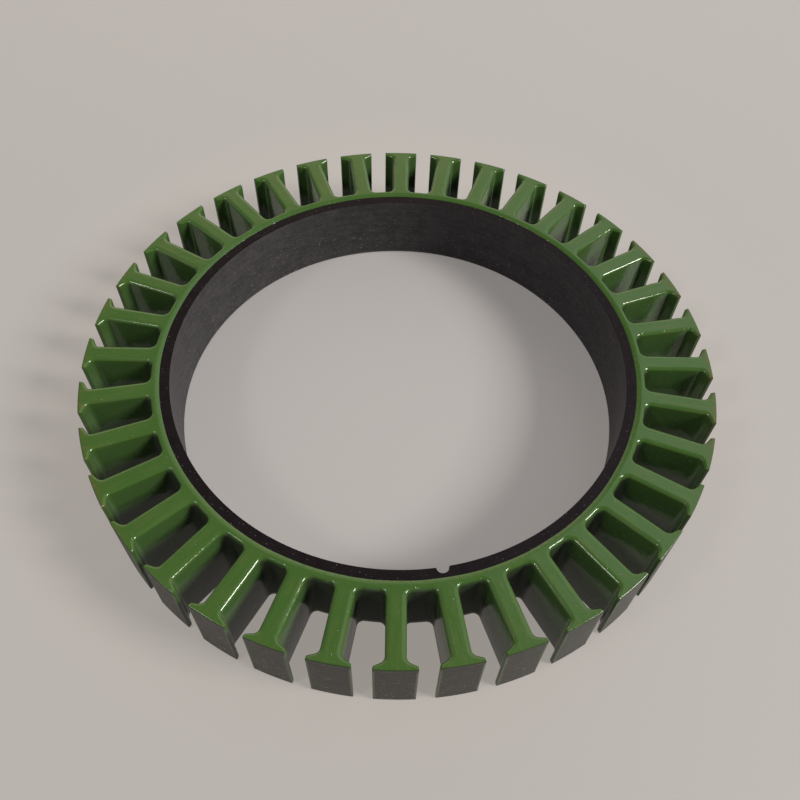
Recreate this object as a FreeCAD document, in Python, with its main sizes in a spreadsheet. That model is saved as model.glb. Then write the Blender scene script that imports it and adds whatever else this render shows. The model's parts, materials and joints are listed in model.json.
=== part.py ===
import FreeCAD, Part
import math
import os

import Sketcher

# Stator lamination stack for an outrunner motor, in millimetres.
# The ring lies flat: +Z is its axis, the origin is the centre of its lower face,
# and the notch in the bore is at -Y, in line with a tooth.

doc = FreeCAD.newDocument("stator_lamination_stack")

DRIVING_SIZES = [
    ("bore_diameter", 58.6, "plain bore that seats on the hub"),
    ("yoke_width", 2.15, "steel ring from the bore to the slot bottoms"),
    ("tooth_reach", 9.05, "steel tooth from the slot bottoms to its tip"),
    ("tooth_count", 36, "teeth, and slots, around the ring"),
    ("tooth_width", 1.8, "steel width of a parallel-sided tooth"),
    ("slot_opening", 2.7, "steel gap between neighbouring shoes"),
    ("shoe_edge", 0.3, "steel thickness of a shoe at its end"),
    ("shoe_angle", 24.0, "slope of a shoe's underside, in degrees"),
    ("lamination_thickness", 0.2, "one stamped sheet"),
    ("lamination_count", 50, "sheets in the stack"),
    ("notch_radius", 0.75, "half-round locating notch in the bore"),
    ("coat_thickness", 0.25, "epoxy over the end faces and slot walls"),
    ("shoe_fillet", 0.75, "epoxy pooled between tooth and shoe"),
    ("root_fillet", 0.8, "epoxy pooled in a corner of the slot bottom"),
    ("bare_ring_width", 1.3, "uncoated ring from the bore to the coat's edge"),
]

sizes = doc.addObject("Spreadsheet::Sheet", "Sizes")
for row, (alias, value, meaning) in enumerate(DRIVING_SIZES, start=1):
    sizes.set(f"A{row}", alias)
    sizes.set(f"B{row}", str(value))
    sizes.set(f"C{row}", meaning)
    sizes.setAlias(f"B{row}", alias)
doc.recompute()

# Each worked-out size is given twice: in the sheet's words, which bind it, and as a number to draw with.
BORE_RADIUS = "Sizes.bore_diameter / 2"
BARE_EDGE_RADIUS = f"{BORE_RADIUS} + Sizes.bare_ring_width"
BOTTOM_RADIUS = f"{BORE_RADIUS} + Sizes.yoke_width"
TIP_RADIUS = f"{BOTTOM_RADIUS} + Sizes.tooth_reach"
STACK_HEIGHT = "Sizes.lamination_count * Sizes.lamination_thickness"
COATED_HEIGHT = f"{STACK_HEIGHT} + 2 * Sizes.coat_thickness"
HALF_PITCH = "180 / Sizes.tooth_count"

bore_radius = sizes.bore_diameter / 2
bare_edge_radius = bore_radius + sizes.bare_ring_width
bottom_radius = bore_radius + sizes.yoke_width
tip_radius = bottom_radius + sizes.tooth_reach
half_pitch = math.radians(180 / sizes.tooth_count)
shoe_slope = half_pitch + math.radians(sizes.shoe_angle)

UP = FreeCAD.Vector(0, 0, 1)
SIDEWAYS = FreeCAD.Vector(1, 0, 0)
ORIGIN = FreeCAD.Vector(0, 0, 0)

# What a sketch calls its own origin point and its upright axis, which is the slot's axis here.
ORIGIN_POINT = (-1, 1)
SLOT_AXIS = (-2,)


def origin_feature(body, role):
    """The plane or axis of a body's own origin that has this role."""
    return next(feature for feature in body.Origin.OriginFeatures if feature.Role == role)


def new_sketch(body, name):
    """A sketch on the body's own XY plane."""
    sketch = body.newObject("Sketcher::SketchObject", name)
    sketch.AttachmentSupport = [(origin_feature(body, "XY_Plane"), "")]
    sketch.MapMode = "FlatFace"
    return sketch


def bound(sketch, name, expression, *constraint):
    """Add a constraint and tie its value to the sheet."""
    index = sketch.addConstraint(Sketcher.Constraint(*constraint))
    sketch.renameConstraint(index, name)
    sketch.setExpression(f"Constraints.{name}", expression)


def pad_ring(body, name, inside, outside, height_words):
    """Pad the ring between two circles, each given by its radius and the sheet's words for it."""
    sketch = new_sketch(body, f"{name}_outline")
    for edge, (radius, words) in (("inside", inside), ("outside", outside)):
        circle = sketch.addGeometry(Part.Circle(ORIGIN, UP, radius))
        sketch.addConstraint(Sketcher.Constraint("Coincident", circle, 3, *ORIGIN_POINT))
        bound(sketch, f"{edge}_radius", words, "Radius", circle, radius)
    ring = body.newObject("PartDesign::Pad", name)
    ring.Profile = sketch
    ring.Refine = False
    ring.setExpression("Length", height_words)
    doc.recompute()


def pocket_up(body, name, sketch):
    """Cut a sketch upwards through the whole height, and check that it cuts."""
    volume_before = body.Tip.Shape.Volume
    pocket = body.newObject("PartDesign::Pocket", name)
    pocket.Profile = sketch
    pocket.Type = "ThroughAll"
    pocket.Reversed = True
    pocket.Refine = False
    doc.recompute()
    if pocket.Shape.Volume >= volume_before:
        raise RuntimeError(f"{name} cuts nothing")
    return pocket


def short_arc(centre, one_end, other_end):
    """The shorter arc about a centre between two points at the same distance from it."""
    first = math.atan2(one_end.y - centre.y, one_end.x - centre.x)
    last = math.atan2(other_end.y - centre.y, other_end.x - centre.x)
    if (last - first) % (2 * math.pi) > math.pi:
        first, last = last, first
    circle = Part.Circle(centre, UP, centre.distanceToPoint(one_end))
    return Part.ArcOfCircle(circle, first, first + (last - first) % (2 * math.pi))


def meet(one, other):
    """The point whose dot product with each of two unit normals is the given distance."""
    (normal_one, distance_one), (normal_other, distance_other) = one, other
    area = normal_one.x * normal_other.y - normal_one.y * normal_other.x
    return FreeCAD.Vector(
        (distance_one * normal_other.y - distance_other * normal_one.y) / area,
        (normal_one.x * distance_other - normal_other.x * distance_one) / area,
        0,
    )


def slot_points(skin, shoe_fillet, root_fillet):
    """Points and arc centres of the right half of a slot whose axis is +Y.

    The slot lies between two parallel-sided teeth and opens between their shoes.
    Skin is the thickness of the coat that narrows it: 0 gives the slot in the steel.
    """
    into_slot = FreeCAD.Vector(-math.cos(half_pitch), math.sin(half_pitch), 0)
    along_tooth = FreeCAD.Vector(math.sin(half_pitch), math.cos(half_pitch), 0)
    below_shoe = FreeCAD.Vector(-math.sin(shoe_slope), -math.cos(shoe_slope), 0)
    half_opening = sizes.slot_opening / 2
    tip_corner = FreeCAD.Vector(half_opening, math.sqrt(tip_radius**2 - half_opening**2), 0)
    underside = tip_corner.dot(below_shoe) + sizes.shoe_edge + skin
    tooth_side = sizes.tooth_width / 2 + skin
    bottom = bottom_radius + skin
    mouth = FreeCAD.Vector(half_opening - skin, tip_radius + sizes.slot_opening, 0)
    shoe_centre = meet((into_slot, tooth_side + shoe_fillet), (below_shoe, underside + shoe_fillet))
    root_aside = tooth_side + root_fillet
    root_out = math.sqrt((bottom + root_fillet) ** 2 - root_aside**2)
    root_centre = into_slot * root_aside + along_tooth * root_out
    return {
        "tip_corner": tip_corner,
        "mouth": mouth,
        "shoe_corner": meet((SIDEWAYS, mouth.x), (below_shoe, underside)),
        "shoe_centre": shoe_centre,
        "shoe_start": shoe_centre - below_shoe * shoe_fillet,
        "shoe_end": shoe_centre - into_slot * shoe_fillet,
        "root_centre": root_centre,
        "root_start": root_centre - into_slot * root_fillet,
        "root_end": root_centre * (bottom / (bottom + root_fillet)),
    }


def draw_half(sketch, points, side, filleted):
    """Draw one side of a slot from its mouth down to its bottom: +1 is right, -1 is left."""
    at = {name: FreeCAD.Vector(side * point.x, point.y, 0) for name, point in points.items()}
    half = {
        "opening": Part.LineSegment(at["mouth"], at["shoe_corner"]),
        "underside": Part.LineSegment(at["shoe_start"], at["shoe_corner"]),
    }
    if filleted:
        half["shoe"] = short_arc(at["shoe_centre"], at["shoe_start"], at["shoe_end"])
    half["tooth_side"] = Part.LineSegment(at["root_start"], at["shoe_end"])
    if filleted:
        half["root"] = short_arc(at["root_centre"], at["root_start"], at["root_end"])
    return {name: sketch.addGeometry(line) for name, line in half.items()}


def join(sketch, one, other, kind):
    """Join the ends of two neighbours that lie nearest each other, and return the first one's end."""
    pairs = [(one_end, other_end) for one_end in (1, 2) for other_end in (1, 2)]

    def gap(pair):
        return sketch.getPoint(one, pair[0]).distanceToPoint(sketch.getPoint(other, pair[1]))

    one_end, other_end = min(pairs, key=gap)
    sketch.addConstraint(Sketcher.Constraint(kind, one, one_end, other, other_end))
    return one, one_end


def sketch_slot(body, name, skin, skin_words, filleted):
    """One slot between two teeth, as a sketch turned by half a pitch so that a tooth is on +Y."""
    sketch = new_sketch(body, name)
    sketch.AttachmentOffset = FreeCAD.Placement(ORIGIN, FreeCAD.Rotation(UP, math.degrees(half_pitch)))
    sketch.setExpression(".AttachmentOffset.Rotation.Angle", HALF_PITCH)

    shoe_fillet = sizes.shoe_fillet if filleted else 0
    root_fillet = sizes.root_fillet if filleted else 0
    points = slot_points(skin, shoe_fillet, root_fillet)
    right = draw_half(sketch, points, 1, filleted)
    left = draw_half(sketch, points, -1, filleted)
    mouth_left = FreeCAD.Vector(-points["mouth"].x, points["mouth"].y, 0)
    bottom_left = FreeCAD.Vector(-points["root_end"].x, points["root_end"].y, 0)
    mouth = sketch.addGeometry(Part.LineSegment(mouth_left, points["mouth"]))
    bottom = sketch.addGeometry(short_arc(ORIGIN, points["root_end"], bottom_left))
    tip_corner = sketch.addGeometry(Part.Point(points["tip_corner"]), True)

    # The right side is smooth where it has fillets, and the left side mirrors it.
    fillets = [right[name] for name in ("shoe", "root") if name in right]
    right_chain = [mouth, *right.values(), bottom]
    left_chain = [mouth, *left.values(), bottom]
    for place, (one, other) in enumerate(zip(right_chain, right_chain[1:])):
        smooth = one in fillets or other in fillets
        right_end = join(sketch, one, other, "Tangent" if smooth else "Coincident")
        left_end = join(sketch, left_chain[place], left_chain[place + 1], "Coincident")
        if other != bottom:
            sketch.addConstraint(Sketcher.Constraint("Symmetric", *right_end, *left_end, *SLOT_AXIS))
    sketch.addConstraint(Sketcher.Constraint("Horizontal", bottom, 1, bottom, 2))
    sketch.addConstraint(Sketcher.Constraint("Coincident", bottom, 3, *ORIGIN_POINT))
    sketch.addConstraint(Sketcher.Constraint("Vertical", right["opening"]))

    # The steel's tip corner is the reference for the shoe, so the coat keeps its thickness all along it.
    half_opening = sizes.slot_opening / 2
    bound(
        sketch, "tip_side", "Sizes.slot_opening / 2",
        "DistanceX", *ORIGIN_POINT, tip_corner, 1, half_opening,
    )
    bound(sketch, "tip_radius", TIP_RADIUS, "Distance", *ORIGIN_POINT, tip_corner, 1, tip_radius)
    bound(
        sketch, "half_opening", f"Sizes.slot_opening / 2 - {skin_words}",
        "DistanceX", *ORIGIN_POINT, right["opening"], 2, half_opening - skin,
    )
    bound(
        sketch, "mouth_height", f"{TIP_RADIUS} + Sizes.slot_opening",
        "DistanceY", *ORIGIN_POINT, mouth, 1, tip_radius + sizes.slot_opening,
    )
    bound(
        sketch, "shoe_thickness", f"Sizes.shoe_edge + {skin_words}",
        "Distance", tip_corner, 1, right["underside"], sizes.shoe_edge + skin,
    )
    bound(
        sketch, "shoe_slope", f"(180 - {HALF_PITCH} - Sizes.shoe_angle) * 1 deg",
        "Angle", right["underside"], math.pi - shoe_slope,
    )
    bound(
        sketch, "side_offset", f"Sizes.tooth_width / 2 + {skin_words}",
        "Distance", *ORIGIN_POINT, right["tooth_side"], sizes.tooth_width / 2 + skin,
    )
    bound(
        sketch, "side_slope", f"(90 - {HALF_PITCH}) * 1 deg",
        "Angle", right["tooth_side"], math.pi / 2 - half_pitch,
    )
    bound(
        sketch, "bottom_radius", f"{BOTTOM_RADIUS} + {skin_words}",
        "Radius", bottom, bottom_radius + skin,
    )
    if filleted:
        bound(sketch, "shoe_fillet", "Sizes.shoe_fillet", "Radius", right["shoe"], shoe_fillet)
        bound(sketch, "root_fillet", "Sizes.root_fillet", "Radius", right["root"], root_fillet)
        sketch.addConstraint(Sketcher.Constraint("Equal", right["shoe"], left["shoe"]))
        sketch.addConstraint(Sketcher.Constraint("Equal", right["root"], left["root"]))
    return sketch


def cut_slots(body, name, sketch):
    """Cut one slot and repeat it around the axis, which leaves the teeth."""
    first_slot = pocket_up(body, name, sketch)
    slots = body.newObject("PartDesign::PolarPattern", f"{name}_pattern")
    slots.Originals = [first_slot]
    slots.Axis = (origin_feature(body, "Z_Axis"), [""])
    slots.Angle = 360
    slots.Refine = False
    slots.setExpression("Occurrences", "Sizes.tooth_count")
    body.Tip = slots
    doc.recompute()


bore = (bore_radius, BORE_RADIUS)
bare_edge = (bare_edge_radius, BARE_EDGE_RADIUS)
tips = (tip_radius, TIP_RADIUS)

# Steel core: the stamped sheets in one bonded stack, each punched with the slots, the bore and the notch.
# Its end faces are split where the coat ends, so the bare ring that seats on the hub is its own face.
core = doc.addObject("PartDesign::Body", "lamination_core")
core.Label = "lamination_core"
core.setExpression(".Placement.Base.z", "Sizes.coat_thickness")
pad_ring(core, "bare_ring", bore, bare_edge, STACK_HEIGHT)
pad_ring(core, "toothed_ring", bare_edge, tips, STACK_HEIGHT)
cut_slots(core, "steel_slot", sketch_slot(core, "steel_slot_outline", 0, "0", filleted=False))

notch_outline = new_sketch(core, "notch_outline")
notch_centre = FreeCAD.Vector(0, -bore_radius, 0)
notch_circle = notch_outline.addGeometry(Part.Circle(notch_centre, UP, sizes.notch_radius))
notch_outline.addConstraint(Sketcher.Constraint("PointOnObject", notch_circle, 3, *SLOT_AXIS))
bound(notch_outline, "on_bore", BORE_RADIUS, "DistanceY", notch_circle, 3, *ORIGIN_POINT, bore_radius)
bound(notch_outline, "notch_radius", "Sizes.notch_radius", "Radius", notch_circle, sizes.notch_radius)
pocket_up(core, "locating_notch", notch_outline)

# Coat before the core is taken out of it: full height, with slots narrowed and their corners filled in.
coat_block = doc.addObject("PartDesign::Body", "coat_block")
pad_ring(coat_block, "coat_disc", bare_edge, tips, COATED_HEIGHT)
coated_outline = sketch_slot(
    coat_block, "coated_slot_outline", sizes.coat_thickness, "Sizes.coat_thickness", filleted=True
)
cut_slots(coat_block, "coated_slot", coated_outline)

# Epoxy coat: a skin on the core, open at the tooth tips, the bore and the bare ring beside the bore.
coat = doc.addObject("Part::Cut", "epoxy_coat")
coat.Label = "epoxy_coat"
coat.Base = coat_block
coat.Tool = core
doc.recompute()

for item in doc.Objects:
    if {"Invalid", "Error"} & set(item.State):
        raise RuntimeError(f"{item.Name} failed: {item.State}")

os.makedirs("parts", exist_ok=True)
for piece in (core, coat):
    shape = piece.Shape
    if shape.isNull() or not shape.isValid() or len(shape.Solids) != 1:
        raise RuntimeError(f"{piece.Label} isn't one valid solid")
    shape.exportStep(f"parts/{piece.Label}.step")
    print(piece.Label, "volume", round(shape.Volume, 2), "faces", len(shape.Faces))
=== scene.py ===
import json
import math
import random

import bmesh
import bpy
from mathutils import Matrix, Vector


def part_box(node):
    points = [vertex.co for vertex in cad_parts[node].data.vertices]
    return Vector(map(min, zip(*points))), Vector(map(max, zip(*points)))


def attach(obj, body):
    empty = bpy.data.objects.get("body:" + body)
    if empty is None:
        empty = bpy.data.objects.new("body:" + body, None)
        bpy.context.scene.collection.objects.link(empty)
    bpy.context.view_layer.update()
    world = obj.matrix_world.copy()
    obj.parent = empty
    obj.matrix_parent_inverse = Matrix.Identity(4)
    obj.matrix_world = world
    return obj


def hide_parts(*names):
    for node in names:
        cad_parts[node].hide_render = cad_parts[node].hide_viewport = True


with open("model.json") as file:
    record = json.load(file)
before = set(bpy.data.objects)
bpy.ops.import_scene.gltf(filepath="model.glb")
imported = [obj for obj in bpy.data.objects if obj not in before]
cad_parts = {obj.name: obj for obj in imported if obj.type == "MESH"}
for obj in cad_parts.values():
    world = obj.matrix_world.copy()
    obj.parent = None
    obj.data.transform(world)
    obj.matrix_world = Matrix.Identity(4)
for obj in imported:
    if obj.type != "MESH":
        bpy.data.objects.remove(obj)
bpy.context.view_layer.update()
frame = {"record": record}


# Laminations
# Fifty sheets of silicon steel, each punched with the teeth, the bore and the notch, and bonded face to face.
# The die rolls the upper rim of every sheet over a little, so the stack's bare edges show fine lines.

MM = 0.001
core_low, core_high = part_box("lamination_core")
bore_mount = next(mount for mount in frame["record"]["mounts"] if mount["name"] == "bore")

BORE_RADIUS = bore_mount["dims"]["r_mm"] * MM
YOKE_WIDTH = 2.15 * MM
TOOTH_REACH = 9.05 * MM
TOOTH_COUNT = 36
TOOTH_WIDTH = 1.8 * MM
SLOT_OPENING = 2.7 * MM
SHOE_EDGE = 0.3 * MM
SHOE_ANGLE = math.radians(24)
NOTCH_RADIUS = 0.75 * MM
BOTTOM_RADIUS = BORE_RADIUS + YOKE_WIDTH
TIP_RADIUS = BOTTOM_RADIUS + TOOTH_REACH
PITCH = math.tau / TOOTH_COUNT

SHEET_COUNT = 50
SHEET_THICKNESS = (core_high.z - core_low.z) / SHEET_COUNT
RIM_ROLL = 0.007 * MM
ROLL_HEIGHT = 0.3 * SHEET_THICKNESS
STACKING_SLIP = 0.006 * MM

AXIS = Vector((0, 0))
LEFT_FOR_RIGHT = Matrix(((-1, 0), (0, 1)))
COINCIDENT = 1e-8


class RimPoint:
    """A point on a rounded outline, kept as its arc's centre, radius and outward direction.

    A hollow arc has a negative radius. A corner too small to be drawn in further closes up on its mitre.
    """

    def __init__(self, centre, outward, radius, mitre=None, bare=False):
        self.centre = centre
        self.outward = outward
        self.radius = radius
        self.mitre = mitre
        self.bare = bare

    def at(self, depth=0):
        """Where the point lies once the outline is drawn in by this depth."""
        reach = self.radius - depth
        closed_up = self.mitre is not None and reach <= 0
        return self.centre + (self.mitre if closed_up else self.outward) * reach

    def moved(self, move):
        mitre = move @ self.mitre if self.mitre is not None else None
        return RimPoint(move @ self.centre, move @ self.outward, self.radius, mitre, self.bare)


def arc(centre, radius, first, last, steps, bare=False):
    """Points of an outline whose outward direction turns from first to last. A corner has no radius."""
    mitre = (first + last) / (1 + first.dot(last)) if 0 <= radius < BORE_RADIUS else None
    if radius == 0:
        return [RimPoint(centre, first, radius, mitre, bare)]
    return [
        RimPoint(centre, first.slerp(last, step / steps), radius, mitre, bare) for step in range(steps + 1)
    ]


def meet(one, other):
    """The point whose dot product with each of two unit directions is the given distance."""
    (direction_one, distance_one), (direction_other, distance_other) = one, other
    rows = Matrix((direction_one, direction_other))
    return rows.inverted() @ Vector((distance_one, distance_other))


def half_slot(steps, skin=0, tip_round=0, shoe_round=0, shoe_fillet=0, root_fillet=0):
    """The right half of a slot whose axis is +Y, from the middle of the tooth's tip to the slot's bottom.

    It is the slot in the bare steel, unless a skin of epoxy narrows it and rounds its corners.
    """
    half_pitch = PITCH / 2
    slope = half_pitch + SHOE_ANGLE
    into_slot = Vector((-math.cos(half_pitch), math.sin(half_pitch)))
    along_tooth = Vector((math.sin(half_pitch), math.cos(half_pitch)))
    below_shoe = Vector((-math.sin(slope), -math.cos(slope)))
    into_opening = Vector((-1, 0))
    up_slot = Vector((0, 1))

    steel_corner = Vector((SLOT_OPENING / 2, math.sqrt(TIP_RADIUS**2 - (SLOT_OPENING / 2) ** 2)))
    half_gap = SLOT_OPENING / 2 - skin
    underside = steel_corner.dot(below_shoe) + SHOE_EDGE + skin
    tooth_side = TOOTH_WIDTH / 2 + skin
    bottom = BOTTOM_RADIUS + skin

    tip_out = math.sqrt((TIP_RADIUS - tip_round) ** 2 - (half_gap + tip_round) ** 2)
    tip_centre = Vector((half_gap + tip_round, tip_out))
    shoe_centre = meet((into_opening, -half_gap - shoe_round), (below_shoe, underside - shoe_round))
    fillet_centre = meet((into_slot, tooth_side + shoe_fillet), (below_shoe, underside + shoe_fillet))
    root_aside = tooth_side + root_fillet
    root_out = math.sqrt((bottom + root_fillet) ** 2 - root_aside**2)
    root_centre = into_slot * root_aside + along_tooth * root_out
    root_outward = root_centre.normalized()

    tip = arc(AXIS, TIP_RADIUS, along_tooth, steel_corner.normalized(), steps, bare=True)
    return [
        *(tip if skin else tip[:-1]),
        *arc(tip_centre, tip_round, tip_centre.normalized(), into_opening, steps, bare=not skin),
        *arc(shoe_centre, shoe_round, into_opening, below_shoe, steps),
        *arc(fillet_centre, -shoe_fillet, below_shoe, into_slot, steps),
        *arc(root_centre, -root_fillet, into_slot, root_outward, steps),
        *arc(AXIS, bottom, root_outward, up_slot, steps)[1:],
    ]


def clockwise(angle):
    return Matrix.Rotation(-angle, 2)


def slotted_rim(half):
    """The outline all round, one list of points for each slot, from one tooth's middle to the next."""
    mirrored = [point.moved(LEFT_FOR_RIGHT) for point in half]
    slot = mirrored + half[-2:0:-1]
    return [[point.moved(clockwise(PITCH * (turn + 0.5))) for point in slot] for turn in range(TOOTH_COUNT)]


def round_rim(radius_at, steps):
    """A hollow circle about the axis whose radius may change with the angle, cut into the same lists."""
    return [
        [
            RimPoint(AXIS, clockwise(angle) @ Vector((0, -1)), -radius_at(angle))
            for angle in (PITCH * (turn + step / steps) for step in range(steps))
        ]
        for turn in range(TOOTH_COUNT)
    ]


def notched_bore(steps):
    """The bore's outline with the half-round notch at -Y, between two of its lists."""
    centre = Vector((0, -BORE_RADIUS))
    half_width = 2 * math.asin(NOTCH_RADIUS / (2 * BORE_RADIUS))
    brink = (clockwise(math.pi - half_width) @ Vector((0, BORE_RADIUS)) - centre).normalized()
    before = arc(centre, -NOTCH_RADIUS, -brink, Vector((0, 1)), steps)
    after = [point.moved(LEFT_FOR_RIGHT) for point in reversed(before)]
    rim = round_rim(lambda angle: BORE_RADIUS, steps)
    beside_notch = TOOTH_COUNT // 2
    rim[beside_notch - 1] += before[:-1]
    rim[beside_notch] = after + rim[beside_notch][1:]
    return rim


def draw_ring(solid, rim, level, shift=AXIS):
    """One closed ring of vertices along an outline, with each slot's in a list of its own.

    The level is a height and a depth, or a function that gives them for each point of the outline.
    """
    ring = []
    for slot in rim:
        levels = [level(point) if callable(level) else level for point in slot]
        places = [(*(point.at(depth) + shift), height) for point, (height, depth) in zip(slot, levels)]
        ring.append([solid.verts.new(place) for place in places])
    return ring


def wall(solid, rim, below, above, tip=0, rest=0, window=False):
    """Faces between two rings, with one material for the bare tips and one for the rest.

    A window leaves out the faces on the bare tips.
    """
    points = [point for slot in rim for point in slot]
    lower = [vertex for slot in below for vertex in slot]
    upper = [vertex for slot in above for vertex in slot]
    for place, point in enumerate(points):
        after = (place + 1) % len(points)
        bare = point.bare and points[after].bare
        if bare and window:
            continue
        face = solid.faces.new((lower[place], upper[place], upper[after], lower[after]))
        face.material_index = tip if bare else rest


def flat(solid, outside, inside):
    """A level face for each slot, from the outer ring in to the inner one."""
    for turn in range(TOOTH_COUNT):
        after = (turn + 1) % TOOTH_COUNT
        outer = [*outside[turn], outside[after][0]]
        inner = [*inside[turn], inside[after][0]]
        solid.faces.new(outer + inner[::-1])


def finish_mesh(solid, name, materials, sharpest):
    """Turn the built faces into a piece with smooth shading, apart from its sharp edges."""
    bmesh.ops.remove_doubles(solid, verts=solid.verts, dist=COINCIDENT)
    bmesh.ops.recalc_face_normals(solid, faces=solid.faces)
    mesh = bpy.data.meshes.new(name)
    solid.to_mesh(mesh)
    solid.free()
    mesh.shade_smooth()
    mesh.set_sharp_from_angle(angle=sharpest)
    for material in materials:
        mesh.materials.append(material)
    piece = bpy.data.objects.new(name, mesh)
    bpy.context.scene.collection.objects.link(piece)
    return piece


class Value:
    """A shader value that takes part in Python arithmetic: each operation adds one Math node."""

    def __init__(self, finish, socket):
        self.finish = finish
        self.socket = socket

    def maths(self, operation, *others, swapped=False):
        terms = (*others, self) if swapped else (self, *others)
        return self.finish.node("ShaderNodeMath", {"operation": operation}, dict(enumerate(terms)))

    def __add__(self, other):
        return self.maths("ADD", other)

    def __radd__(self, other):
        return self.maths("ADD", other, swapped=True)

    def __sub__(self, other):
        return self.maths("SUBTRACT", other)

    def __rsub__(self, other):
        return self.maths("SUBTRACT", other, swapped=True)

    def __mul__(self, other):
        return self.maths("MULTIPLY", other)

    def __rmul__(self, other):
        return self.maths("MULTIPLY", other, swapped=True)

    def __truediv__(self, other):
        return self.maths("DIVIDE", other)


class Finish:
    """The main shader of its holder, a material or the world, and the nodes that vary it."""

    def __init__(self, holder, shader="Principled BSDF", **constant):
        self.holder = holder
        self.holder.use_nodes = True
        self.tree = self.holder.node_tree
        self.shader = self.tree.nodes[shader]
        for socket, value in constant.items():
            self.shader.inputs[socket.replace("_", " ")].default_value = value

    def node(self, kind, settings, inputs, output=0):
        """Add a node: its settings first, then a value or a link for each socket that is named."""
        made = self.tree.nodes.new(kind)
        for name, value in settings.items():
            setattr(made, name, value)
        for name, value in inputs.items():
            self.feed(made.inputs[name], value)
        return Value(self, made.outputs[output])

    def feed(self, socket, value):
        if isinstance(value, Value):
            self.tree.links.new(value.socket, socket)
        else:
            socket.default_value = value

    def place(self):
        """Where a point of the surface lies in the part's own frame, in metres."""
        return self.node("ShaderNodeTexCoord", {}, {}, "Object")

    def stretched(self, place, scale):
        return self.node("ShaderNodeVectorMath", {"operation": "MULTIPLY"}, {0: place, 1: scale})

    def along(self, place, axis):
        return self.node("ShaderNodeSeparateXYZ", {}, {0: place}, axis)

    def from_axis(self, place):
        """How far a point lies from the ring's axis."""
        level_place = self.stretched(place, (1, 1, 0))
        return self.node("ShaderNodeVectorMath", {"operation": "LENGTH"}, {0: level_place}, 1)

    def noise(self, place, scale, detail=2.0, roughness=0.5):
        inputs = {"Vector": place, "Scale": scale, "Detail": detail, "Roughness": roughness}
        return self.node("ShaderNodeTexNoise", {}, inputs, "Fac")

    def ramp(self, value, low, high):
        """0 below low, 1 above high, and smooth between."""
        inputs = {"Value": value, "From Min": low, "From Max": high}
        return self.node("ShaderNodeMapRange", {"interpolation_type": "SMOOTHSTEP"}, inputs)

    def blend(self, share, first, second):
        inputs = {"Factor": share, 6: first, 7: second}
        return self.node("ShaderNodeMix", {"data_type": "RGBA"}, inputs, 2)

    def bump(self, height, distance):
        return self.node("ShaderNodeBump", {}, {"Height": height, "Distance": distance})

    def paint(self, **sockets):
        for socket, value in sockets.items():
            self.feed(self.shader.inputs[socket.replace("_", " ")], value)
        return self.holder


def tone(red, green, blue):
    """A colour given as a paint chart gives it, in steps of 255."""
    def linear(step):
        share = step / 255
        return share / 12.92 if share <= 0.04045 else ((share + 0.055) / 1.055) ** 2.4

    return (linear(red), linear(green), linear(blue), 1)


DRAWN_SCALE = (900, 900, 5000)
GRAIN_SCALE = 3200
CLOUD_SCALE = 450
SPECK_SCALE = (2200, 2200, 4400)
CUT_RELIEF = 0.010 * MM


def cut_edge(name, dark, light, speck_colour, roughness, **constant):
    """Punched edges of stacked sheets: each sheet has its own tone, drawn along by the punch."""
    finish = Finish(bpy.data.materials.new(name), **constant)
    place = finish.place()
    height = finish.along(place, "Z")
    sheet = (height / SHEET_THICKNESS).maths("FLOOR")
    own_tone = finish.node("ShaderNodeTexWhiteNoise", {"noise_dimensions": "1D"}, {"W": sheet})
    drawn = finish.noise(finish.stretched(place, DRAWN_SCALE), 1.0, detail=3.0, roughness=0.6)
    grain = finish.noise(place, GRAIN_SCALE, roughness=0.6)
    cloud = finish.noise(place, CLOUD_SCALE, detail=3.0)
    speck = finish.ramp(finish.noise(finish.stretched(place, SPECK_SCALE), 1.0, detail=1.0), 0.64, 0.74)
    shade = finish.ramp(0.08 * own_tone + 0.35 * drawn + 0.3 * grain + 0.3 * cloud, 0.3, 0.75)
    colour = finish.blend(shade, dark, light)
    low = 1 - finish.ramp(height, core_low.z, core_high.z)
    colour = finish.blend(speck * (0.3 + 0.5 * low), colour, speck_colour)
    relief = finish.bump(drawn + 0.6 * grain, CUT_RELIEF)
    return finish.paint(Base_Color=colour, Roughness=roughness + 0.2 * cloud, Normal=relief)


tip_steel = cut_edge(
    "tip_steel",
    dark=tone(53, 53, 49),
    light=tone(83, 82, 76),
    speck_colour=tone(176, 173, 162),
    roughness=0.26,
    Metallic=0.6,
)
bore_steel = cut_edge(
    "bore_steel",
    dark=tone(47, 45, 47),
    light=tone(76, 73, 75),
    speck_colour=tone(112, 107, 108),
    roughness=0.3,
    Metallic=0.1,
    Specular_IOR_Level=0.12,
)

FACE_DARK = tone(24, 19, 21)
FACE_LIGHT = tone(34, 29, 31)
FACE_CLOUD_SCALE = 700
FACE_RELIEF = 0.02 * MM
DUST_GREY = tone(130, 126, 122)
DUST_SCALE = 4200
sheet_face = Finish(bpy.data.materials.new("sheet_face"), IOR=1.5, Specular_IOR_Level=0.08)
face_place = sheet_face.place()
face_cloud = sheet_face.noise(face_place, FACE_CLOUD_SCALE, detail=3.0)
dust = sheet_face.ramp(sheet_face.noise(face_place, DUST_SCALE, detail=1.0), 0.70, 0.76)
face_colour = sheet_face.blend(face_cloud, FACE_DARK, FACE_LIGHT)
face_colour = sheet_face.blend(dust * 0.5, face_colour, DUST_GREY)
sheet_face.paint(
    Base_Color=face_colour,
    Roughness=0.14 + 0.14 * face_cloud,
    Normal=sheet_face.bump(face_cloud, FACE_RELIEF),
)

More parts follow.
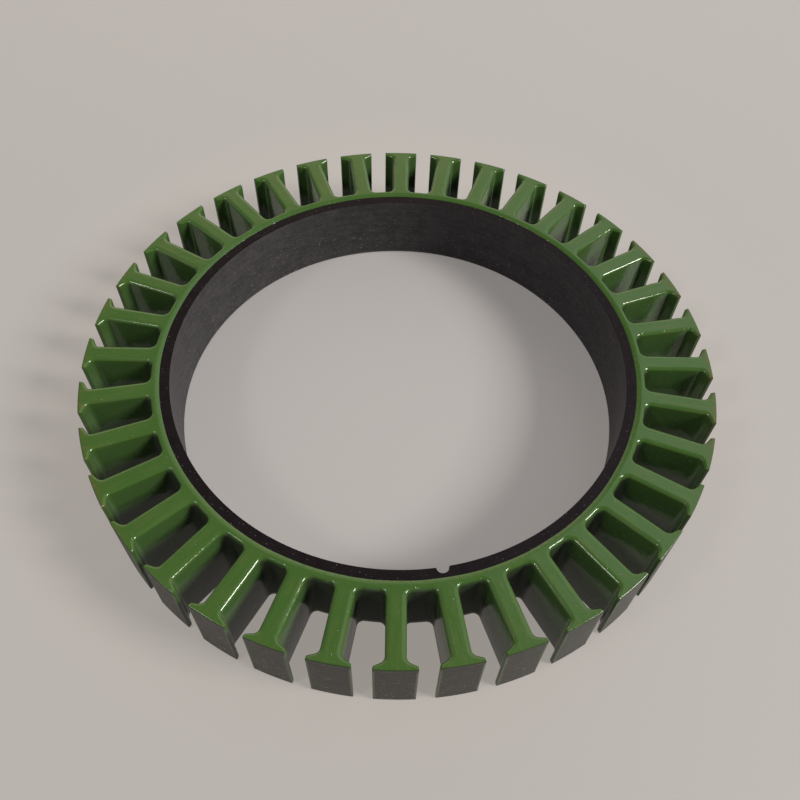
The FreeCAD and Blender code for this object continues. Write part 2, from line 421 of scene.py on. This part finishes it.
SHEET_STEPS = 2
BORE_STEPS = 6
SHEET_SHARPEST = math.radians(15)
STACKING_SEED = 36
sheet_materials = [sheet_face.holder, tip_steel, bore_steel]
on_tip = sheet_materials.index(tip_steel)
on_bore = sheet_materials.index(bore_steel)
sheet_rim = slotted_rim(half_slot(SHEET_STEPS))
bore_rim = notched_bore(BORE_STEPS)
stacking = random.Random(STACKING_SEED)
for number in range(1, SHEET_COUNT + 1):
    sheet = bmesh.new()
    foot = core_low.z + (number - 1) * SHEET_THICKNESS
    head = foot + SHEET_THICKNESS
    slip = Vector((stacking.uniform(-1, 1), stacking.uniform(-1, 1))) * STACKING_SLIP
    levels = [(foot, 0), (head - ROLL_HEIGHT, 0), (head, RIM_ROLL)]
    teeth = [draw_ring(sheet, sheet_rim, level, slip) for level in levels]
    bore = [draw_ring(sheet, bore_rim, level, slip) for level in levels]
    for below, above in zip(teeth, teeth[1:]):
        wall(sheet, sheet_rim, below, above, tip=on_tip)
    for below, above in zip(bore, bore[1:]):
        wall(sheet, bore_rim, below, above, rest=on_bore)
    flat(sheet, teeth[0], bore[0])
    flat(sheet, teeth[-1], bore[-1])
    piece = finish_mesh(sheet, f"lamination_{number:02d}", sheet_materials, SHEET_SHARPEST)
    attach(piece, "root")
    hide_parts("lamination_core")


# Epoxy coat
# One skin of green powder epoxy, fused on the hot stack by dipping it in a fluidised bed of powder.
# It flows round every edge and pools in the slots' corners. The tips, the bore and the ring beside the
# bore are masked.

coat_low, coat_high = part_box("epoxy_coat")
COAT_THICKNESS = core_low.z - coat_low.z
BARE_RING_WIDTH = 1.3 * MM
MASK_RADIUS = BORE_RADIUS + BARE_RING_WIDTH
MASK_WANDER = 0.018 * MM
MASK_WAVES = ((5, 1, 0), (13, 0.8, 1), (31, 0.6, 2))
SHOE_FILLET = 0.75 * MM
ROOT_FILLET = 0.8 * MM
TOOTH_EDGE_REACH = 0.58 * MM
ROOT_EDGE_REACH = 0.4 * MM
EDGE_DROP = 0.4 * MM
EDGE_FULLNESS = 2
TIP_EDGE_ROUND = 0.18 * MM
TIP_FADE = 1.3 * MM
TIP_ROUND = 0.07 * MM
MASK_SLOPE = 0.6 * MM
MASK_DROP = 0.22 * MM
MASK_FULLNESS = 1.25
FLAT_MARGIN = 0.02 * MM
WALL_FADE = 0.9 * MM
COAT_STEPS = 7
MASK_STEPS = 16


def masked_edge(angle):
    """The coat's inner edge, which wanders a little where the mask ended."""
    wander = sum(size * math.sin(turns * angle + start) for turns, size, start in MASK_WAVES)
    return MASK_RADIUS + MASK_WANDER * wander


def edge_form(point):
    """The reach, drop and fullness of the epoxy's rounding at an edge.

    It is wide along the teeth, narrower at the slot's bottom, and least at a tip, where the steel is bare.
    """
    radius = point.at().length
    up_tooth = min(1, max(0, (radius - BOTTOM_RADIUS - COAT_THICKNESS) / ROOT_FILLET))
    from_tip = min(1, (TIP_RADIUS - radius) / TIP_FADE)
    reach = ROOT_EDGE_REACH + (TOOTH_EDGE_REACH - ROOT_EDGE_REACH) * up_tooth
    reach = TIP_EDGE_ROUND + (reach - TIP_EDGE_ROUND) * from_tip
    return reach, min(reach, EDGE_DROP), EDGE_FULLNESS


def mask_form(point):
    """At the masked edge the epoxy runs out in a long, nearly straight slope."""
    return MASK_SLOPE, MASK_DROP, MASK_FULLNESS


def over_edge(face, inward, turn, form, margin=0):
    """The level of each point at this turn round an edge: 0 is on the wall, a quarter turn on the face."""
    def level(point):
        reach, drop, fullness = form(point)
        along, up = (max(0, share) ** (2 / fullness) for share in (math.cos(turn), math.sin(turn)))
        return face + inward * drop * (1 - up), reach * (1 - along) + margin

    return level


def rounding(face, inward, form):
    """The levels from a wall up or down to a face, round the edge between them."""
    quarter = math.pi / 2
    turns = [quarter * step / COAT_STEPS for step in range(COAT_STEPS + 1)]
    levels = [over_edge(face, inward, turn, form) for turn in turns]
    return [*levels, over_edge(face, inward, quarter, form, FLAT_MARGIN)]


def beside_steel(face, inward):
    """The level of the steel's end face, or the start of the rounding where that reaches further."""
    return lambda point: (face + inward * max(COAT_THICKNESS, edge_form(point)[1]), 0)


coat = bmesh.new()
steel_rim = slotted_rim(half_slot(COAT_STEPS))
coated_half_slot = half_slot(
    COAT_STEPS,
    skin=COAT_THICKNESS,
    tip_round=TIP_ROUND,
    shoe_round=COAT_THICKNESS,
    shoe_fillet=SHOE_FILLET,
    root_fillet=ROOT_FILLET,
)
coat_rim = slotted_rim(coated_half_slot)
mask_rim = round_rim(masked_edge, MASK_STEPS)
lower_face = (coat_low.z, 1)
upper_face = (coat_high.z, -1)
lower_edge = rounding(*lower_face, edge_form)[::-1]
upper_edge = rounding(*upper_face, edge_form)
outer_levels = [*lower_edge, beside_steel(*lower_face), beside_steel(*upper_face), *upper_edge]
outer = [draw_ring(coat, coat_rim, level) for level in outer_levels]
for place, (below, above) in enumerate(zip(outer, outer[1:])):
    wall(coat, coat_rim, below, above, window=place == len(lower_edge))
inner = [draw_ring(coat, steel_rim, (height, 0)) for height in (core_low.z, core_high.z)]
wall(coat, steel_rim, *inner, window=True)
lower_end = (lower_face, core_low.z, inner[0], outer[0])
upper_end = (upper_face, core_high.z, inner[-1], outer[-1])
for coat_face, steel_level, steel_ring, coat_ring in (lower_end, upper_end):
    mask_levels = [(steel_level, 0), *rounding(*coat_face, mask_form)]
    mask = [draw_ring(coat, mask_rim, level) for level in mask_levels]
    for below, above in zip(mask, mask[1:]):
        wall(coat, mask_rim, below, above)
    flat(coat, steel_ring, mask[0])
    flat(coat, coat_ring, mask[-1])

GREEN = tone(58, 92, 37)
PALE_GREEN = tone(70, 98, 47)
STREAK_GREEN = tone(84, 98, 52)
# The next colour is painted shade, for the deep ends of the slots.
SLOT_GREEN = tone(64, 91, 48)
SLOT_END_SHADE_GREEN = tone(28, 36, 22)
GRIME_BROWN = tone(100, 84, 44)
CUT_GREEN = tone(36, 46, 22)
CUT_GREY = tone(104, 105, 92)
GRIME_START = TIP_RADIUS - 1.1 * MM
GRIME_FULL = TIP_RADIUS - 0.2 * MM
CUT_START = TIP_RADIUS - 0.12 * MM
CUT_FULL = TIP_RADIUS - 0.05 * MM
STREAK_START = BOTTOM_RADIUS + 0.3 * MM
STREAK_FULL = BOTTOM_RADIUS + 1.5 * MM
SLOT_END_DARK = BOTTOM_RADIUS + 0.4 * MM
SLOT_END_CLEAR = BOTTOM_RADIUS + 1.8 * MM
STREAK_SCALE = 1900
STREAK_STRETCH = 0.12
STREAK_SHIFT = 0.01
FLOW_SCALE = 160
PEEL_SCALE = 900
GRIT_SCALE = 2600
EPOXY_RELIEF = 0.03 * MM
COAT_SHARPEST = math.radians(40)

epoxy = Finish(bpy.data.materials.new("green_epoxy"), IOR=1.5)
epoxy_place = epoxy.place()
epoxy_radius = epoxy.from_axis(epoxy_place)
epoxy_height = epoxy.along(epoxy_place, "Z")
epoxy_aside = epoxy.along(epoxy_place, "X")
epoxy_flow = epoxy.noise(epoxy_place, FLOW_SCALE)
epoxy_peel = epoxy.noise(epoxy_place, PEEL_SCALE)
epoxy_grit = epoxy.noise(epoxy_place, GRIT_SCALE, detail=0.0)
pinholes = epoxy.ramp(epoxy_grit, 0.74, 0.80)
near_mask = 1 - epoxy.ramp(epoxy_radius, MASK_RADIUS, MASK_RADIUS + MASK_SLOPE)
near_tip = epoxy.ramp(epoxy_radius, GRIME_START, GRIME_FULL)
cut_through = epoxy.ramp(epoxy_radius, CUT_START, CUT_FULL)
below_top = 1 - epoxy.ramp(epoxy_height, core_high.z - WALL_FADE, core_high.z)
in_slot = below_top * epoxy.ramp(epoxy_height, core_low.z, core_low.z + WALL_FADE)
to_the_side = epoxy_aside.maths("ABSOLUTE") / epoxy_radius

# The teeth at the sides are the ones it is picked up by, and their tips have gone brown in spots.
handled = epoxy.ramp(to_the_side, 0.8, 0.92) * near_tip * (1 - 0.7 * in_slot)
grime = handled * epoxy.ramp(epoxy_flow, 0.36, 0.56) * epoxy.ramp(epoxy_grit, 0.44, 0.6)

# Streaks run out along each tooth: narrow across it, long along it, and different on every tooth.
teeth_round = epoxy_aside.maths("ARCTAN2", epoxy.along(epoxy_place, "Y")) / PITCH
own_tooth = teeth_round.maths("ROUND")
beside_middle = (teeth_round - own_tooth) * PITCH * epoxy_radius
tooth_run = epoxy.node(
    "ShaderNodeCombineXYZ",
    {},
    {0: beside_middle, 1: STREAK_STRETCH * epoxy_radius, 2: STREAK_SHIFT * own_tooth},
)
on_tooth = epoxy.ramp(epoxy_radius, STREAK_START, STREAK_FULL)
streaks = on_tooth * epoxy.ramp(epoxy.noise(tooth_run, STREAK_SCALE), 0.42, 0.68)

# Painted shade: deep in each slot, towards its bottom by the yoke, the coat is painted a darker green. The
# same mask makes it rougher there too.
slot_end_shade = in_slot * (1 - epoxy.ramp(epoxy_radius, SLOT_END_DARK, SLOT_END_CLEAR))
epoxy_colour = epoxy.blend(epoxy_flow, GREEN, PALE_GREEN)
epoxy_colour = epoxy.blend(streaks * 0.35, epoxy_colour, STREAK_GREEN)
epoxy_colour = epoxy.blend(in_slot, epoxy_colour, SLOT_GREEN)
epoxy_colour = epoxy.blend(slot_end_shade * 0.8, epoxy_colour, SLOT_END_SHADE_GREEN)
epoxy_colour = epoxy.blend(grime * 0.7, epoxy_colour, GRIME_BROWN)
# The coat's edge over the bare tips is grey like the steel along the sides, and a darker green line at its
# top and bottom.
cut_colour = epoxy.blend(in_slot, CUT_GREEN, CUT_GREY)
epoxy_colour = epoxy.blend(cut_through * 0.75, epoxy_colour, cut_colour)
epoxy_relief = epoxy_peel + 1.4 * near_mask * epoxy_grit + 0.12 * streaks - 0.6 * pinholes
epoxy.paint(
    Base_Color=epoxy_colour,
    Roughness=0.09 + 0.08 * epoxy_flow + 0.3 * cut_through + 0.2 * grime + 0.45 * slot_end_shade,
    Normal=epoxy.bump(epoxy_relief, EPOXY_RELIEF),
)
coat_piece = finish_mesh(coat, "epoxy_skin", [epoxy.holder], COAT_SHARPEST)
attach(coat_piece, "root")
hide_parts("epoxy_coat")


# Floor
# A plain pale foam sheet that the ring lies on, level with its lower face. It glows evenly to the camera
# and in the gloss, and round the teeth it has a painted pool of light, a stronger glow over a darker foam,
# which stands in for light soaking through the foam and lifts the shadows there.

FLOOR_SIZE = 4.0
FLOOR_GAP = 0.02 * MM
FOAM = tone(150, 147, 146)
POOL_FOAM = tone(120, 117, 115)
FOAM_GLOW = tone(110, 106, 104)
POOL_GLOW = tone(150, 144, 139)
NO_GLOW = (0, 0, 0, 1)
MIRRORED_GLOW = 0.6
POOL_REACH = 1.7 * TIP_RADIUS
floor_finish = Finish(bpy.data.materials.new("floor"), Roughness=0.5, Emission_Strength=1.0)
seen = floor_finish.node("ShaderNodeLightPath", {}, {}, "Is Camera Ray")
mirrored = floor_finish.node("ShaderNodeLightPath", {}, {}, "Is Glossy Ray")
floor_radius = floor_finish.from_axis(floor_finish.place())
beyond = floor_finish.ramp(floor_radius, BORE_RADIUS, BOTTOM_RADIUS)
# Painted light: the pool of stronger glow round the teeth, from the bore out past the tips.
painted_light_pool = beyond * (1 - floor_finish.ramp(floor_radius, TIP_RADIUS, POOL_REACH))
floor_colour = floor_finish.blend(painted_light_pool, FOAM, POOL_FOAM)
floor_glow = floor_finish.blend(painted_light_pool, FOAM_GLOW, POOL_GLOW)
floor_glow = floor_finish.blend(seen + MIRRORED_GLOW * mirrored, NO_GLOW, floor_glow)
floor_finish.paint(Base_Color=floor_colour, Emission_Color=floor_glow)
floor_mesh = bpy.data.meshes.new("floor")
quarters = ((-1, -1), (1, -1), (1, 1), (-1, 1))
corners = [(x * FLOOR_SIZE / 2, y * FLOOR_SIZE / 2, -FLOOR_GAP) for x, y in quarters]
floor_mesh.from_pydata(corners, [], [(0, 1, 2, 3)])
floor_mesh.materials.append(floor_finish.holder)
floor = bpy.data.objects.new("floor", floor_mesh)
bpy.context.scene.collection.objects.link(floor)


# Camera
# It stands over the near side of the ring, a little left of the notch, and looks down on it.

SENSOR = 36.0
LENS = 38.495
NEAREST_SEEN = 0.01
VIEW_DISTANCE = 2.7418 * TIP_RADIUS
VIEW_ELEVATION = math.radians(52.38)
VIEW_TURN = math.radians(10.86)
AIM_UP = math.radians(2.759)
AIM_ASIDE = math.radians(0.158)
VIEW_ROLL = math.radians(-1.678)

stand_back = Matrix.Translation((0, 0, VIEW_DISTANCE))
look_down = Matrix.Rotation(math.pi / 2 - VIEW_ELEVATION, 4, "X")
aim = (
    Matrix.Rotation(-AIM_UP, 4, "X")
    @ Matrix.Rotation(-AIM_ASIDE, 4, "Y")
    @ Matrix.Rotation(-VIEW_ROLL, 4, "Z")
)
camera = bpy.data.objects.new("camera", bpy.data.cameras.new("camera"))
camera.data.sensor_width = SENSOR
camera.data.lens = LENS
camera.data.clip_start = NEAREST_SEEN
camera.matrix_world = (
    Matrix.Translation((0, 0, core_high.z))
    @ Matrix.Rotation(-VIEW_TURN, 4, "Z")
    @ look_down
    @ stand_back
    @ aim
)
bpy.context.scene.collection.objects.link(camera)
bpy.context.scene.camera = camera


# Lamps
# A wide soft lamp to the right, a smaller one high on the left, and a plain room with a paler wall behind,
# a window's light from the right and a door's from the left. The camera sees a pale backdrop in place of
# the room, and so does the gloss low down.

LAMP_COLOUR = (1.0, 0.98, 0.92)
ROOM_COLOUR = (0.08, 0.079, 0.077, 1)
WALL_FOOT = (1.5, 1.35, 1.1, 1)
WALL_TOP = (1.10, 0.92, 0.68, 1)
WINDOW_COLOUR = (0.72, 0.74, 0.80, 1)
DOOR_COLOUR = (0.5, 0.49, 0.47, 1)
BACKDROP_COLOUR = tone(196, 191, 186)


def towards(turn, elevation):
    """The direction of a bearing, clockwise from +Y, and an elevation, both in degrees."""
    bearing, rise = math.radians(turn), math.radians(elevation)
    return Vector((math.sin(bearing) * math.cos(rise), math.cos(bearing) * math.cos(rise), math.sin(rise)))


def lamp(name, turn, elevation, distance, size, strength):
    """A square lamp aimed at the ring: turn is its bearing, clockwise from +Y."""
    light = bpy.data.lights.new(name, "AREA")
    light.color = LAMP_COLOUR
    light.size = size
    light.energy = strength
    direction = towards(turn, elevation)
    made = bpy.data.objects.new(name, light)
    made.location = direction * distance
    made.rotation_euler = direction.to_track_quat("Z", "Y").to_euler()
    bpy.context.scene.collection.objects.link(made)


lamp("key_lamp", turn=116, elevation=37, distance=2.4, size=0.76, strength=61.0)
lamp("left_lamp", turn=-107, elevation=48, distance=1.2, size=0.22, strength=2.3)
room = Finish(bpy.data.worlds.new("room"), "Background", Strength=1.0)
outlook = room.node("ShaderNodeTexCoord", {}, {}, "Generated")


def facing(direction):
    terms = {0: outlook, 1: direction}
    return room.node("ShaderNodeVectorMath", {"operation": "DOT_PRODUCT"}, terms, "Value")


def patch(direction, edge, core):
    """A round soft patch of the room's light, with the angles of its edge and of its even core."""
    return room.ramp(facing(direction), math.cos(math.radians(edge)), math.cos(math.radians(core)))


height = facing((0, 0, 1))
wall_light = room.ramp(facing(towards(turn=8, elevation=0)), 0.5, 0.9) * (1 - room.ramp(height, 0.66, 0.79))
window_light = patch(towards(turn=57, elevation=44), edge=34, core=16)
door_light = patch(towards(turn=-95, elevation=35), edge=45, core=15)
wall_colour = room.blend(room.ramp(height, 0.3, 0.6), WALL_FOOT, WALL_TOP)
room_colour = room.blend(wall_light, ROOM_COLOUR, wall_colour)
room_colour = room.blend(window_light, room_colour, WINDOW_COLOUR)
room_colour = room.blend(door_light, room_colour, DOOR_COLOUR)
outright = room.node("ShaderNodeLightPath", {}, {}, "Is Camera Ray")
in_gloss = room.node("ShaderNodeLightPath", {}, {}, "Is Glossy Ray")
backdrop = outright + in_gloss * (1 - room.ramp(height, 0.1, 0.3))
room_colour = room.blend(backdrop, room_colour, BACKDROP_COLOUR)
room.paint(Color=room_colour)
bpy.context.scene.world = room.holder
bpy.context.scene.view_settings.view_transform = "Standard"
